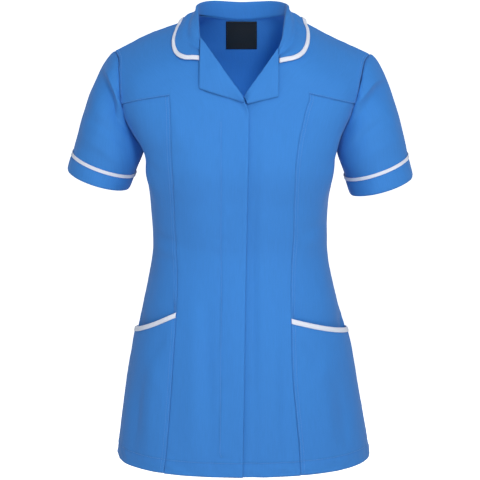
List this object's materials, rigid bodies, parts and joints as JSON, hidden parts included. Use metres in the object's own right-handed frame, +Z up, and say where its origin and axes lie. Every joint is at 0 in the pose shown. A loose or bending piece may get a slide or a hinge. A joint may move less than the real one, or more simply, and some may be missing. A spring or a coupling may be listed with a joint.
{
  "type": "nurse uniform tunic",
  "caption": "Short-sleeved, hip-length work tunic with a white-edged revers collar, princess seams, hem pockets and turned-up cuffs, held open as worn.",
  "frame": {"origin": "middle of the neck opening, level with the neck ends of the two shoulder seams", "axes": "+X towards the wearer's left, -Y out of the front, +Z up from the hem to the neck"},
  "size_m": [0.566, 0.2933, 0.7549],
  "materials": {
    "blue_cloth": "matte woven cloth",
    "white_trim": "matte woven tape",
    "black_label": "matte woven label"
  },
  "bodies": {
    "root": {"back": "blue_cloth", "collar": "blue_cloth", "collar_binding": "white_trim", "neck_label": "black_label", "right_front": "blue_cloth", "right_side_front": "blue_cloth", "right_revers": "blue_cloth", "right_sleeve": "blue_cloth", "right_cuff": "blue_cloth", "right_cuff_tape": "white_trim", "right_pocket": "blue_cloth", "right_pocket_binding": "white_trim", "left_front": "blue_cloth", "left_side_front": "blue_cloth", "left_revers": "blue_cloth", "left_sleeve": "blue_cloth", "left_cuff": "blue_cloth", "left_cuff_tape": "white_trim", "left_pocket": "blue_cloth", "left_pocket_binding": "white_trim"}
  },
  "joints": []
}
